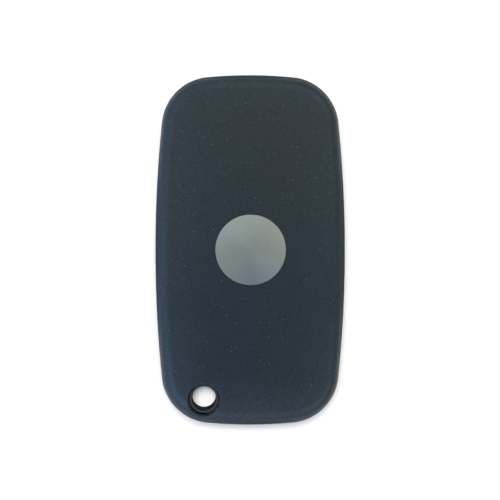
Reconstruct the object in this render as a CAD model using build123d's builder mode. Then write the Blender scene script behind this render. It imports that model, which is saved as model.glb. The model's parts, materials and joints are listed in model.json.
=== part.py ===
from build123d import *
import os
from math import asin, atan2, cos, degrees, hypot, radians, sin, sqrt

# Flip key remote: a pocket-sized car key whose steel blade swings out of the side of a two-shell case.
# Millimetres. The case lies with its buttons down on Z = 0 and its smooth rear face up. X is across the
# case, Y runs along it, and the blade swings about an upright line in the corner at +X, +Y.

# Case form, seen in plan
case_length = 75.0
case_width = 40.7
side_bow_radius = 274.0
end_bow_radius = 100.0
corner_radius = 10.8

# Case form, seen from the side
case_height = 15.2
crown_across_radius = 180.0
crown_along_radius = 700.0
rear_edge_radius = 3.0
front_edge_radius = 2.4
side_wall = 1.6
rear_wall = 1.6
front_wall = 1.8
rib_thickness = 1.0

# Joint between the two shells
tongue_height = 0.9
tongue_thickness = 0.7
tongue_gap = 0.1
seam_gap = 0.05
pry_notch_width = 8.0

# Key ring hole, placed from the centre of the case's corner arc
ring_hole_out = 1.71
ring_hole_down = 5.7
ring_hole_radius = 2.6
ring_tube_wall = 0.6
ring_tube_rise = 1.9
ring_collar_gap = 0.17
ring_collar_wall = 1.1
ring_rim_radius = 0.3

# Function buttons, from the keypad recess inwards
button_names = ("lock", "unlock", "boot")
button_pitch = 11.5
button_width = 14.6
button_length = 8.2
button_corner = 3.4
button_gap = 0.15
button_rim_radius = 0.4
button_proud = 0.25
button_flange = 0.8
button_flange_height = 0.5
button_flange_gap = 0.1
button_nub_radius = 1.2
button_travel = 0.4
keypad_recess = 0.5
keypad_margin = 2.4

# Switches and circuit board, stacked on the buttons
press_room = 0.6
switch_size = 5.2
switch_height = 1.2
switch_corner = 0.5
plunger_radius = 1.5
plunger_gap = 0.08
plunger_bore_floor = 0.2
plunger_end_room = 0.1
board_thickness = 0.8
board_side_room = 1.75
board_end_room = 0.9
board_corner = 3.2
post_inset = 2.6
post_radius = 1.3
locating_pin_radius = 0.6
locating_pin_gap = 0.1

# Parts on the rear side of the board
chip_length = 6.5
chip_width = 4.4
chip_height = 0.9
chip_leads = 7
lead_pitch = 0.8
lead_width = 0.35
lead_reach = 1.0
lead_height = 0.3
crystal_length = 5.0
crystal_width = 3.2
crystal_height = 1.1
crystal_corner = 0.6
coil_length = 10.6
coil_width = 3.0
coil_height = 2.8
coil_flange = 1.0
coil_flange_step = 0.35
capacitor_length = 1.6
capacitor_width = 0.8
capacitor_rows = 4
capacitor_row_pitch = 2.0
part_spacing = 1.8

# Coin cell and its contacts
cell_radius = 10.0
cell_thickness = 3.2
cell_side_room = 3.25
cell_end_room = 3.4
cell_stand = 0.6
cell_rim_step = 0.3
cell_rim_width = 1.4
contact_sheet = 0.25
contact_width = 6.0
contact_foot = 1.2
contact_bend = 0.3
contact_gap = 0.1
contact_slot_length = 9.0
contact_slot_width = 0.8
contact_finger_length = 2.6
cell_rib_gap = 0.4

# Transponder block in its pocket at the unused corner
transponder_width = 6.0
transponder_length = 12.0
transponder_height = 3.0
transponder_corner = 0.6
transponder_gap = 0.1
transponder_side = 3.3
transponder_back = 4.3
transponder_pocket_height = 2.2

# Blade, folded along the +X side
blade_width = 7.9
blade_thickness = 2.2
blade_cover = 0.5
blade_into_corner = 2.9
blade_room = 0.35
blade_point_length = 3.4
blade_edge_chamfer = 0.3
track_width = 2.2
track_depth = 0.5
track_wave = 1.0
track_pitch = 5.4
track_run_start = 0.35
track_run = 0.45
track_bend = 0.6
track_start = 4.0
tang_width = 4.0
tang_length = 5.6
tang_fit = 0.03
blade_pin_radius = 0.8
blade_pin_sheet = 0.35
blade_pin_slot = 0.3
blade_pin_chamfer = 0.2
blade_pin_fit = 0.02
blade_pin_recess = 0.1
blade_pin_back = 3.2

# Blade head: a flanged hub that turns between the shells
board_room = 0.25
flange_reveal = 0.5
flange_height = 4.6
flange_edge = 0.4
flange_gap = 0.15
hub_wall = 1.72
hub_below = 2.8
hub_above = 1.6
hub_gap = 0.08
bearing_ring_wall = 1.1
arm_beyond_flange = 0.2
arm_corner = 0.8
head_gap = 0.35

# Release button, a cup that slides in the head's bore
release_radius = 5.6
release_gap = 0.08
release_face = 0.3
release_rim_radius = 0.5
release_height = 8.7
release_floor = 1.5
release_wall = 0.7
release_travel = 1.8
release_hole_gap = 0.16
release_groove_radius = 3.7
release_groove_width = 0.6
release_groove_depth = 0.3
lug_width = 3.0
lug_reach = 1.0
lug_height = 2.0
lug_gap = 0.1
dish_depth = 0.75
dish_margin = 0.2

# Flip spring inside the release button
spring_wire = 0.8
spring_clearance = 0.4
spring_turns = 4.5
spring_end_gap = 0.02
spring_seat_gap = 0.6
spring_post_gap = 0.25
spring_post_room = 2.0
spring_slot_gap = 0.13

# Plain round inlay in the rear face
inlay_radius = 7.5
inlay_depth = 0.95
inlay_rim = 0.75
inlay_dome = 0.3
inlay_gap = 0.05

# How far openings and ribs run on past the surface that trims them
past = 0.5
far = 60.0


def corner_centre():
    """Centre of the corner arc that runs smoothly into the side bow and the end bow."""
    side_centre_x = case_width / 2 - side_bow_radius
    end_centre_y = case_length / 2 - end_bow_radius
    side_reach = side_bow_radius - corner_radius
    end_reach = end_bow_radius - corner_radius
    span = hypot(side_centre_x, end_centre_y)
    along = (side_reach**2 - end_reach**2 + span**2) / (2 * span)
    across = sqrt(side_reach**2 - along**2)
    unit_x = -side_centre_x / span
    unit_y = end_centre_y / span
    centre_x = side_centre_x + unit_x * along - unit_y * across
    centre_y = unit_y * along + unit_x * across
    return centre_x, centre_y


# The blade turns about the centre of the corner arc
pivot_x, pivot_y = corner_centre()
side_turn = degrees(atan2(pivot_y, pivot_x - case_width / 2 + side_bow_radius))
end_turn = degrees(atan2(pivot_x, pivot_y - case_length / 2 + end_bow_radius))

# Heights, from the keypad up to the seam
button_face = keypad_recess - button_proud
button_flange_bottom = front_wall + button_flange_gap
button_flange_top = button_flange_bottom + button_flange_height
board_bottom = button_flange_top + press_room + switch_height
board_top = board_bottom + board_thickness
channel_floor_bottom = board_top + board_room
bay_bottom = channel_floor_bottom + rib_thickness
blade_middle_height = bay_bottom + blade_room + blade_thickness / 2
bay_top = blade_middle_height + blade_thickness / 2 + blade_room
seam_height = blade_middle_height
flange_bottom = blade_middle_height - flange_height / 2
flange_top = blade_middle_height + flange_height / 2
head_bay_bottom = flange_bottom - flange_gap
head_bay_top = flange_top + flange_gap
hub_bottom = flange_bottom - hub_below
hub_top = flange_top + hub_above
spring_seat = hub_top + spring_seat_gap
ring_tube_top = seam_height + ring_tube_rise

# Blade and head, in plan
flange_radius = corner_radius - flange_reveal
hub_radius = release_radius + release_gap + hub_wall
blade_outer_edge = pivot_x + corner_radius * cos(radians(side_turn)) - blade_cover
blade_inner_edge = blade_outer_edge - blade_width
blade_middle_x = (blade_inner_edge + blade_outer_edge) / 2
blade_tip_y = -pivot_y - blade_into_corner
arm_end_y = pivot_y - flange_radius - arm_beyond_flange
channel_edge = blade_inner_edge - blade_room
channel_end = blade_tip_y - blade_room - past
mouth_edge = 2 * pivot_x - blade_outer_edge - blade_room

# Key ring hole, board, cell and transponder, in plan
ring_hole_x = -pivot_x - ring_hole_out
ring_hole_y = -pivot_y - ring_hole_down
ring_tube_radius = ring_hole_radius + ring_tube_wall
collar_radius = ring_tube_radius + ring_collar_gap
boss_radius = collar_radius + ring_collar_wall
board_width = case_width - 2 * side_wall - 2 * board_side_room
board_low_y = ring_hole_y + boss_radius + board_end_room
board_high_y = arm_end_y - head_gap - rib_thickness - board_end_room
board_length = board_high_y - board_low_y
board_middle_y = (board_high_y + board_low_y) / 2
cell_x = cell_side_room + cell_radius + side_wall - case_width / 2
cell_y = board_low_y + cell_end_room + cell_radius
cell_bottom = board_top + cell_stand
cell_top = cell_bottom + cell_thickness
cell_end_y = cell_y + cell_radius
button_span = button_pitch * (len(button_names) - 1)
post_spacing = (board_width - 2 * post_inset, board_length - 2 * post_inset)
transponder_x = -pivot_x - transponder_side
transponder_y = pivot_y - transponder_back


def case_outline(inset=0.0):
    """Plan outline of the case: bowed sides and ends with large corners, moved inwards by inset."""
    side_centre = case_width / 2 - side_bow_radius
    end_centre = case_length / 2 - end_bow_radius
    corner_sweep = 90 - side_turn - end_turn
    with BuildSketch() as outline:
        with BuildLine():
            CenterArc((side_centre, 0), side_bow_radius - inset, -side_turn, 2 * side_turn)
            CenterArc((-side_centre, 0), side_bow_radius - inset, 180 - side_turn, 2 * side_turn)
            CenterArc((0, end_centre), end_bow_radius - inset, 90 - end_turn, 2 * end_turn)
            CenterArc((0, -end_centre), end_bow_radius - inset, 270 - end_turn, 2 * end_turn)
            for quarter, (x_sign, y_sign) in enumerate(((1, 1), (-1, 1), (-1, -1), (1, -1))):
                first_turn = side_turn if quarter % 2 == 0 else end_turn
                centre = (x_sign * pivot_x, y_sign * pivot_y)
                CenterArc(centre, corner_radius - inset, 90 * quarter + first_turn, corner_sweep)
        make_face()
    return outline.sketch


def crown_region(drop):
    """Everything under the crowned rear face, which is lowered by drop."""
    half_swing = degrees(asin(case_length / crown_along_radius))
    axle_height = case_height - crown_along_radius
    start = Plane(
        origin=(0, 0, axle_height),
        x_dir=(1, 0, 0),
        z_dir=(0, -cos(radians(half_swing)), -sin(radians(half_swing))),
    )
    apex = crown_along_radius - drop
    across_radius = crown_across_radius - drop
    reach = case_width * 0.75
    sag = across_radius - sqrt(across_radius**2 - reach**2)
    with BuildPart() as region:
        with BuildSketch(start):
            with BuildLine():
                ThreePointArc((-reach, apex - sag), (0, apex), (reach, apex - sag))
                Polyline(
                    (reach, apex - sag),
                    (reach, apex - far),
                    (-reach, apex - far),
                    (-reach, apex - sag),
                )
            make_face()
        revolve(axis=Axis((0, 0, axle_height), (-1, 0, 0)), revolution_arc=2 * half_swing)
    return region.part


def crowned_block(inset, floor, drop):
    """The case outline raised from floor to the crowned rear face, with a rounded upper edge."""
    outline = case_outline(inset)
    crown = crown_region(drop)
    with BuildPart() as block:
        with BuildSketch(Plane.XY.offset(floor)):
            add(outline)
        extrude(amount=case_height + past - floor)
        add(crown, mode=Mode.INTERSECT)
        fillet(block.faces().sort_by(Axis.Z)[-1].edges(), radius=rear_edge_radius - inset)
    return block.part


def front_block(inset, floor, top):
    """The case outline raised from floor to top, with a rounded lower edge."""
    outline = case_outline(inset)
    with BuildPart() as block:
        with BuildSketch(Plane.XY.offset(floor)):
            add(outline)
        extrude(amount=top - floor)
        fillet(block.faces().sort_by(Axis.Z)[0].edges(), radius=front_edge_radius - inset)
    return block.part


def swing_room(low_y, grow=0.0):
    """Plan of the room for the blade or its head: side channel from low_y, head circle and end mouth."""
    with BuildSketch() as room:
        with Locations((pivot_x, pivot_y)):
            Circle(flange_radius + flange_gap + grow)
        with Locations((channel_edge - grow, low_y - grow)):
            Rectangle(far, pivot_y - low_y + grow, align=(Align.MIN, Align.MIN))
        with Locations((mouth_edge - grow, pivot_y)):
            Rectangle(far, far, align=(Align.MIN, Align.MIN))
    return room.sketch


def pivot_plane(height):
    """Sketch plane centred on the blade's turning axis."""
    return Plane(origin=(pivot_x, pivot_y, height))


def ring_plane(height):
    """Sketch plane centred on the key ring hole."""
    return Plane(origin=(ring_hole_x, ring_hole_y, height))


def moving_bay():
    """The space that the blade, its head and the hub take up between the shells."""
    with BuildPart() as bay:
        with BuildSketch(Plane.XY.offset(bay_bottom)):
            add(blade_room_plan)
        extrude(amount=bay_top - bay_bottom)
        with BuildSketch(Plane.XY.offset(head_bay_bottom)):
            add(head_room_plan)
        extrude(amount=head_bay_top - head_bay_bottom)
        with BuildSketch(pivot_plane(front_wall)):
            Circle(hub_radius + hub_gap)
        extrude(amount=spring_seat - front_wall)
    return bay.part


def tongue_ring(clearance):
    """Plan of the tongue that joins the shells, grown by clearance and stopped short of the ring boss."""
    outer = case_outline(side_wall - tongue_thickness - clearance)
    inner = case_outline(side_wall + clearance)
    with BuildSketch() as ring:
        add(outer)
        add(inner, mode=Mode.SUBTRACT)
        with Locations((ring_hole_x, ring_hole_y)):
            Circle(boss_radius + past - clearance, mode=Mode.SUBTRACT)
    return ring.sketch


def button_plan(grow):
    """Plan of one function button, moved outwards by grow."""
    with BuildSketch() as plan:
        RectangleRounded(button_width + 2 * grow, button_length + 2 * grow, button_corner + grow)
    return plan.sketch


def ribbon(points, bend, half_width):
    """A band of constant width along a line of straight runs with rounded turns."""
    with BuildSketch() as band:
        with BuildLine():
            middle = FilletPolyline(*points, radius=bend)
            offset(middle, amount=half_width, kind=Kind.TANGENT, side=Side.BOTH, mode=Mode.REPLACE)
        make_face()
    return band.sketch


def bent_sheet(points, width):
    """A strip of contact sheet, bent along points in the YZ plane at the cell's middle."""
    section = ribbon(points, contact_bend, contact_sheet / 2)
    with BuildPart() as strip:
        with BuildSketch(Plane.YZ.offset(cell_x)):
            add(section)
        extrude(amount=width / 2, both=True)
    return strip.part


blade_room_plan = swing_room(channel_end)
head_room_plan = swing_room(arm_end_y - head_gap)
blade_room_wall = swing_room(channel_end, rib_thickness)
head_room_wall = swing_room(arm_end_y - head_gap, rib_thickness)
bay_space = moving_bay()

os.makedirs("parts", exist_ok=True)

# Ribs, bearing ring and collar of the rear shell, trimmed to the middle of its wall
rear_trim = crowned_block(side_wall / 2, seam_height + seam_gap, rear_wall / 2)
with BuildPart() as rear_inside:
    with BuildSketch(Plane.XY.offset(seam_height + seam_gap)):
        add(blade_room_wall)
        add(blade_room_plan, mode=Mode.SUBTRACT)
    extrude(amount=case_height)
    with BuildSketch(Plane.XY.offset(bay_top)):
        add(blade_room_wall)
    extrude(amount=rib_thickness)
    with BuildSketch(Plane.XY.offset(head_bay_top)):
        add(head_room_wall)
    extrude(amount=rib_thickness)
    with BuildSketch(pivot_plane(head_bay_top)):
        Circle(hub_radius + hub_gap + bearing_ring_wall)
    extrude(amount=case_height)
    with BuildSketch(ring_plane(seam_height + seam_gap)):
        Circle(boss_radius)
        Circle(collar_radius, mode=Mode.SUBTRACT)
    extrude(amount=case_height)
    with BuildSketch(Plane.XY.offset(cell_top + contact_sheet + cell_rib_gap)):
        with Locations((cell_x, cell_y)):
            with GridLocations(0, cell_radius, 1, 2):
                Rectangle(2 * cell_radius - contact_width / 2, rib_thickness)
    extrude(amount=case_height)
    add(rear_trim, mode=Mode.INTERSECT)

# Outer form of the rear shell, pierced for the key ring tube
rear_outer = crowned_block(0, seam_height, 0)
with BuildPart() as rear_pierced:
    add(rear_outer)
    with BuildSketch(Plane.XY.offset(seam_height - past)):
        Rectangle(2 * case_width, 2 * case_length)
        with Locations((ring_hole_x, ring_hole_y)):
            Circle(collar_radius, mode=Mode.SUBTRACT)
    extrude(amount=case_height, mode=Mode.INTERSECT)
    hole_middle = (ring_hole_x, ring_hole_y, ring_tube_top)
    hole_wall = rear_pierced.faces().filter_by(GeomType.CYLINDER).sort_by_distance(hole_middle)[0]
    rim = hole_wall.edges().filter_by_position(Axis.Z, case_height - rear_edge_radius, case_height)
    fillet(rim, radius=ring_rim_radius)

# Rear shell: the smooth crowned cover
rear_hollow = crowned_block(side_wall, seam_height - past, rear_wall)
spring_post_radius = release_radius - release_wall - spring_clearance - spring_wire - spring_post_gap
spring_post_bottom = release_face + release_floor + release_travel + spring_post_room
with BuildPart() as rear_cover:
    add(rear_pierced.part)
    add(rear_hollow, mode=Mode.SUBTRACT)
    with BuildSketch(Plane.XY.offset(seam_height - tongue_height)):
        add(tongue_ring(0))
    extrude(amount=tongue_height + seam_gap)
    add(rear_inside)
    add(bay_space, mode=Mode.SUBTRACT)
    with BuildSketch(pivot_plane(spring_post_bottom)):
        Circle(spring_post_radius)
        Rectangle(spring_wire + 2 * spring_slot_gap, far, mode=Mode.SUBTRACT)
    extrude(amount=spring_seat - spring_post_bottom + past / 2)
    with BuildSketch(Plane.XY.offset(case_height - inlay_depth)):
        Circle(inlay_radius + inlay_gap)
    extrude(amount=case_height, mode=Mode.SUBTRACT)
rear_cover.part.label = "rear_cover"
export_step(rear_cover.part, "parts/rear_cover.step")

# Walls, floors and bearing ring of the front shell, trimmed to the middle of its wall
front_trim = front_block(side_wall / 2, front_wall / 2, seam_height - seam_gap)
with BuildPart() as front_inside:
    with BuildSketch():
        add(blade_room_wall)
        add(blade_room_plan, mode=Mode.SUBTRACT)
    extrude(amount=case_height)
    with BuildSketch(Plane.XY.offset(channel_floor_bottom)):
        add(blade_room_wall)
    extrude(amount=rib_thickness)
    with BuildSketch(Plane.XY.offset(head_bay_bottom - rib_thickness)):
        add(head_room_wall)
    extrude(amount=rib_thickness)
    with BuildSketch():
        with Locations((0, board_middle_y)):
            Rectangle(case_width, board_length + 2 * board_room)
    extrude(amount=channel_floor_bottom, mode=Mode.SUBTRACT)
    with BuildSketch(pivot_plane(0)):
        Circle(hub_radius + hub_gap + bearing_ring_wall)
    extrude(amount=head_bay_bottom)
    with BuildSketch(ring_plane(0)):
        Circle(boss_radius)
    extrude(amount=case_height)
    with BuildSketch():
        with Locations((0, board_middle_y)):
            with GridLocations(*post_spacing, 2, 2):
                Circle(post_radius)
    extrude(amount=board_bottom)
    with BuildSketch():
        with Locations((0, board_middle_y)):
            with GridLocations(*post_spacing, 2, 2):
                Circle(locating_pin_radius)
    extrude(amount=board_top)
    with BuildSketch():
        with Locations((transponder_x, transponder_y)):
            pocket_width = transponder_width + 2 * transponder_gap
            pocket_length = transponder_length + 2 * transponder_gap
            Rectangle(pocket_width + 2 * rib_thickness, pocket_length + 2 * rib_thickness)
            Rectangle(pocket_width, pocket_length, mode=Mode.SUBTRACT)
    extrude(amount=front_wall + transponder_pocket_height)
    add(front_trim, mode=Mode.INTERSECT)

# Front shell: flat button face with the keypad recess, thumb dish and key ring tube. At the ring end the
# groove's outer lip is left out over the pry notch, where a coin edge parts the shells.
front_outer = front_block(0, 0, seam_height)
front_hollow = front_block(side_wall, front_wall, seam_height + past)
release_hole_radius = release_radius + release_hole_gap
dish_radius = corner_radius - front_edge_radius - dish_margin
dish_sphere = (dish_radius**2 + dish_depth**2) / (2 * dish_depth)
with BuildPart() as front_cover:
    add(front_outer)
    add(front_hollow, mode=Mode.SUBTRACT)
    add(front_inside)
    with BuildSketch(Plane.XY.offset(seam_height - tongue_height - tongue_gap)):
        add(tongue_ring(tongue_gap))
        with Locations((0, -case_length / 2)):
            Rectangle(pry_notch_width, 2 * (side_wall - tongue_thickness + tongue_gap))
    extrude(amount=case_height, mode=Mode.SUBTRACT)
    add(bay_space, mode=Mode.SUBTRACT)
    with BuildSketch():
        with Locations((0, board_middle_y)):
            RectangleRounded(
                button_width + 2 * keypad_margin,
                button_span + button_length + 2 * keypad_margin,
                button_corner + keypad_margin,
            )
    extrude(amount=keypad_recess, mode=Mode.SUBTRACT)
    with BuildSketch():
        with Locations((0, board_middle_y)):
            with GridLocations(0, button_pitch, 1, len(button_names)):
                add(button_plan(button_gap))
    extrude(amount=front_wall + past, mode=Mode.SUBTRACT)
    with Locations((pivot_x, pivot_y, dish_depth - dish_sphere)):
        Sphere(dish_sphere, mode=Mode.SUBTRACT)
    with BuildSketch(pivot_plane(-past)):
        Circle(release_hole_radius)
    extrude(amount=front_wall + 2 * past, mode=Mode.SUBTRACT)
    with BuildSketch(ring_plane(front_wall)):
        Circle(ring_tube_radius)
    extrude(amount=ring_tube_top - front_wall)
    fillet(front_cover.faces().sort_by(Axis.Z)[-1].edges(), radius=ring_rim_radius / 2)
    with BuildSketch(ring_plane(-past)):
        Circle(ring_hole_radius)
    extrude(amount=case_height, mode=Mode.SUBTRACT)
    bore_middle = (ring_hole_x, ring_hole_y, seam_height / 2)
    bore_wall = front_cover.faces().filter_by(GeomType.CYLINDER).sort_by_distance(bore_middle)[0]
    fillet(bore_wall.edges().filter_by_position(Axis.Z, -past, front_edge_radius), radius=ring_rim_radius)
front_cover.part.label = "front_cover"
export_step(front_cover.part, "parts/front_cover.step")

# Function buttons: a cap in the keypad opening, a flange that holds it in and a nub for the switch
cap_plan = button_plan(0)
flange_plan = button_plan(button_flange)
button_top = button_flange_top + press_room / 2
for number, name in enumerate(button_names):
    button_y = board_middle_y + button_span / 2 - button_pitch * number
    with BuildPart() as button:
        with BuildSketch(Plane((0, button_y, button_face))):
            add(cap_plan)
        extrude(amount=button_flange_bottom - button_face)
        fillet(button.faces().sort_by(Axis.Z)[0].edges(), radius=button_rim_radius)
        with BuildSketch(Plane((0, button_y, button_flange_bottom))):
            add(flange_plan)
        extrude(amount=button_flange_height)
        with BuildSketch(Plane((0, button_y, button_flange_top))):
            Circle(button_nub_radius)
        extrude(amount=button_top - button_flange_top)
    button.part.label = f"{name}_button"
    export_step(button.part, f"parts/{name}_button.step")

    with BuildPart() as switch:
        with BuildSketch(Plane((0, button_y, board_bottom - switch_height))):
            RectangleRounded(switch_size, switch_size, switch_corner)
            Circle(plunger_radius + plunger_gap, mode=Mode.SUBTRACT)
        extrude(amount=switch_height - plunger_bore_floor)
        with BuildSketch(Plane((0, button_y, board_bottom - plunger_bore_floor))):
            RectangleRounded(switch_size, switch_size, switch_corner)
        extrude(amount=plunger_bore_floor)
    switch.part.label = f"{name}_switch"
    export_step(switch.part, f"parts/{name}_switch.step")

    with BuildPart() as plunger:
        with BuildSketch(Plane((0, button_y, button_top))):
            Circle(plunger_radius)
        extrude(amount=board_bottom - plunger_bore_floor - button_travel - plunger_end_room - button_top)
        fillet(plunger.faces().sort_by(Axis.Z)[0].edges(), radius=plunger_gap)
    plunger.part.label = f"{name}_plunger"
    export_step(plunger.part, f"parts/{name}_plunger.step")

# Circuit board on the four posts of the front shell
with BuildPart() as circuit_board:
    with BuildSketch(Plane((0, board_middle_y, board_bottom))):
        RectangleRounded(board_width, board_length, board_corner)
        with GridLocations(*post_spacing, 2, 2):
            Circle(locating_pin_radius + locating_pin_gap, mode=Mode.SUBTRACT)
    extrude(amount=board_thickness)
circuit_board.part.label = "circuit_board"
export_step(circuit_board.part, "parts/circuit_board.step")

# Controller chip with a row of leads on each side
chip_x = cell_x
chip_y = cell_end_y + part_spacing + chip_width / 2 + lead_reach
with BuildPart() as controller_chip:
    with BuildSketch(Plane((chip_x, chip_y, board_top))):
        Rectangle(chip_length, chip_width)
    extrude(amount=chip_height, taper=4)
    with BuildSketch(Plane((chip_x, chip_y, board_top))):
        with GridLocations(lead_pitch, 0, chip_leads, 1):
            Rectangle(lead_width, chip_width + 2 * lead_reach)
    extrude(amount=lead_height)
controller_chip.part.label = "controller_chip"
export_step(controller_chip.part, "parts/controller_chip.step")

# Crystal can beside the chip
crystal_x = chip_x + chip_length / 2 + part_spacing + crystal_width / 2
with BuildPart() as crystal_can:
    with BuildSketch(Plane((crystal_x, chip_y, board_top))):
        RectangleRounded(crystal_width, crystal_length, crystal_corner)
    extrude(amount=crystal_height)
    fillet(crystal_can.faces().sort_by(Axis.Z)[-1].edges(), radius=crystal_corner / 3)
crystal_can.part.label = "crystal_can"
export_step(crystal_can.part, "parts/crystal_can.step")

# Chip capacitors, midway between the crystal and the wall of the blade channel
capacitor_x = (crystal_x + crystal_width / 2 + channel_edge - rib_thickness) / 2
with BuildPart() as chip_capacitors:
    with BuildSketch(Plane((capacitor_x, chip_y, board_top))):
        with GridLocations(0, capacitor_row_pitch, 1, capacitor_rows):
            Rectangle(capacitor_length, capacitor_width)
    extrude(amount=capacitor_width)
chip_capacitors.part.label = "chip_capacitors"
export_step(chip_capacitors.part, "parts/chip_capacitors.step")

# Antenna coil: a wound ferrite rod with square end cheeks
coil_x = chip_x - chip_length / 2 - part_spacing - coil_width / 2 - coil_flange_step
with BuildPart() as antenna_coil:
    with BuildSketch(Plane((coil_x, chip_y, board_top))):
        with GridLocations(0, coil_length - coil_flange, 1, 2):
            Rectangle(coil_width + 2 * coil_flange_step, coil_flange)
    extrude(amount=coil_height)
    with BuildSketch(Plane((coil_x, chip_y, board_top + coil_flange_step))):
        Rectangle(coil_width, coil_length - coil_flange)
    extrude(amount=coil_height - 2 * coil_flange_step)
    fillet(antenna_coil.edges().filter_by(Axis.Y).group_by(Edge.length)[-1], radius=coil_flange_step)
antenna_coil.part.label = "antenna_coil"
export_step(antenna_coil.part, "parts/antenna_coil.step")

# Coin cell, its smaller pole towards the board
with BuildPart() as coin_cell:
    with BuildSketch(Plane((cell_x, cell_y, cell_bottom))):
        Circle(cell_radius - cell_rim_width)
    extrude(amount=cell_rim_step)
    with BuildSketch(Plane((cell_x, cell_y, cell_bottom + cell_rim_step))):
        Circle(cell_radius)
    extrude(amount=cell_thickness - cell_rim_step)
    fillet(coin_cell.edges().filter_by(GeomType.CIRCLE).group_by(Axis.Z)[-1], radius=cell_rim_step)
coin_cell.part.label = "coin_cell"
export_step(coin_cell.part, "parts/coin_cell.step")

# Positive contact: a strap over the cell, soldered to the board by its two feet
half_sheet = contact_sheet / 2
strap_reach = cell_radius + contact_gap + half_sheet
strap = bent_sheet(
    (
        (cell_y - strap_reach - contact_foot, board_top + half_sheet),
        (cell_y - strap_reach, board_top + half_sheet),
        (cell_y - strap_reach, cell_top + half_sheet),
        (cell_y + strap_reach, cell_top + half_sheet),
        (cell_y + strap_reach, board_top + half_sheet),
        (cell_y + strap_reach + contact_foot, board_top + half_sheet),
    ),
    contact_width,
)
with BuildPart() as battery_clip_positive:
    add(strap)
    with BuildSketch(Plane((cell_x, cell_y, cell_top))):
        with GridLocations(contact_width / 3, 0, 2, 1):
            SlotOverall(contact_slot_length, contact_slot_width, rotation=90)
    extrude(amount=past, mode=Mode.SUBTRACT)
battery_clip_positive.part.label = "battery_clip_positive"
export_step(battery_clip_positive.part, "parts/battery_clip_positive.step")

# Negative contact: a strip on the board with a finger raised to the cell
finger_top = cell_bottom - half_sheet
finger = bent_sheet(
    (
        (cell_y - 2 * contact_finger_length, board_top + half_sheet),
        (cell_y - contact_finger_length, board_top + half_sheet),
        (cell_y - contact_foot / 2, finger_top),
        (cell_y + contact_foot / 2, finger_top),
        (cell_y + contact_finger_length, board_top + half_sheet),
        (cell_y + 2 * contact_finger_length, board_top + half_sheet),
    ),
    contact_width / 2,
)
with BuildPart() as battery_clip_negative:
    add(finger)
battery_clip_negative.part.label = "battery_clip_negative"
export_step(battery_clip_negative.part, "parts/battery_clip_negative.step")

# Transponder block
with BuildPart() as transponder_chip:
    with BuildSketch(Plane((transponder_x, transponder_y, front_wall))):
        RectangleRounded(transponder_width, transponder_length, transponder_corner)
    extrude(amount=transponder_height)
    fillet(transponder_chip.faces().sort_by(Axis.Z)[-1].edges(), radius=transponder_corner / 2)
transponder_chip.part.label = "transponder_chip"
export_step(transponder_chip.part, "parts/transponder_chip.step")

# Blade head: flange, arm and hub in one casting, bored for the release button and slotted for the tang
pin_y = arm_end_y + blade_pin_back
bore_radius = release_radius + release_gap
lug_bottom = release_face + release_height - lug_height
with BuildPart() as blade_head:
    with BuildSketch(Plane.XY.offset(flange_bottom)):
        with Locations((pivot_x, pivot_y)):
            Circle(flange_radius)
        with Locations((blade_inner_edge, arm_end_y)):
            Rectangle(blade_width, pivot_y - arm_end_y, align=(Align.MIN, Align.MIN))
    extrude(amount=flange_height)
    arm_edge = blade_head.edges().filter_by(Axis.Z).group_by(Axis.Y)[0].sort_by(Axis.X)[-1]
    fillet(arm_edge, radius=arm_corner)
    rim_faces = blade_head.faces().filter_by(Axis.Z)
    chamfer(rim_faces.edges(), length=flange_edge)
    with BuildSketch(pivot_plane(hub_bottom)):
        Circle(hub_radius)
    extrude(amount=hub_top - hub_bottom)
    with BuildSketch(pivot_plane(hub_bottom)):
        Circle(bore_radius)
    extrude(amount=hub_top - hub_bottom, mode=Mode.SUBTRACT)
    with BuildSketch(pivot_plane(lug_bottom - lug_gap)):
        Rectangle(lug_width + 2 * lug_gap, 2 * (release_radius + lug_reach + lug_gap))
    extrude(amount=hub_top, mode=Mode.SUBTRACT)
    with BuildSketch(Plane.XY.offset(blade_middle_height - blade_thickness / 2 - tang_fit)):
        with Locations((blade_middle_x, arm_end_y - past)):
            Rectangle(
                tang_width + 2 * tang_fit,
                tang_length + tang_fit + past,
                align=(Align.CENTER, Align.MIN),
            )
    extrude(amount=blade_thickness + 2 * tang_fit, mode=Mode.SUBTRACT)
    with BuildSketch(Plane((blade_middle_x, pin_y, flange_bottom))):
        Circle(blade_pin_radius + blade_pin_fit)
    extrude(amount=flange_height, mode=Mode.SUBTRACT)
blade_head.part.label = "blade_head"
export_step(blade_head.part, "parts/blade_head.step")

# Roll pin through arm and tang: spring sheet rolled into an open tube
with BuildPart() as blade_pin:
    with BuildSketch(Plane((blade_middle_x, pin_y, flange_bottom + blade_pin_recess))):
        Circle(blade_pin_radius)
    extrude(amount=flange_height - 2 * blade_pin_recess)
    chamfer(blade_pin.edges().filter_by(GeomType.CIRCLE), length=blade_pin_chamfer)
    with BuildSketch(Plane((blade_middle_x, pin_y, flange_bottom))):
        Circle(blade_pin_radius - blade_pin_sheet)
        Rectangle(blade_pin_radius, blade_pin_slot, align=(Align.MIN, Align.CENTER))
    extrude(amount=flange_height, mode=Mode.SUBTRACT)
blade_pin.part.label = "blade_pin"
export_step(blade_pin.part, "parts/blade_pin.step")

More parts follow.
